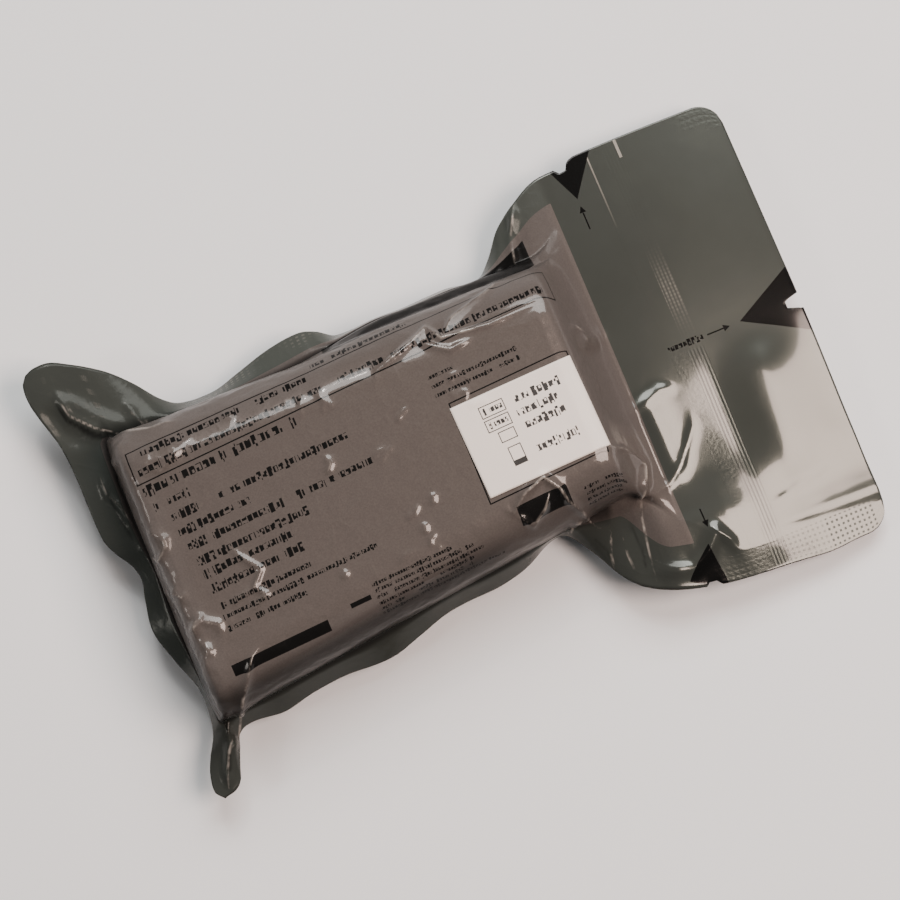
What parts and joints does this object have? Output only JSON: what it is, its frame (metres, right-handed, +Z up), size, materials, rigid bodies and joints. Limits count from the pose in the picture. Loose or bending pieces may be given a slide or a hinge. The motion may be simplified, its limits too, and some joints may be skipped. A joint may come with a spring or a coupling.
{
  "type": "vacuum-packed emergency trauma bandage",
  "caption": "Firm rolled bandage sealed in an opaque vacuum film pouch with a flat tear-open header, crumpled rim and adhesive label.",
  "frame": {"origin": "centre of the flat face under the roll, on which the pouch lies", "axes": "+X along the pouch towards its flat header, +Z up out of the resting face, +Y across"},
  "size_m": [0.1761, 0.1101, 0.0307],
  "materials": {
    "front_film": "glossy printed laminate film",
    "back_film": "glossy grey-green laminate film",
    "bandage_cloth": "elastic cotton cloth",
    "label_paper": "satin coated paper"
  },
  "bodies": {
    "root": {"front_web": "front_film", "back_web": "back_film", "bandage_roll": "bandage_cloth", "label": "label_paper"}
  },
  "joints": []
}
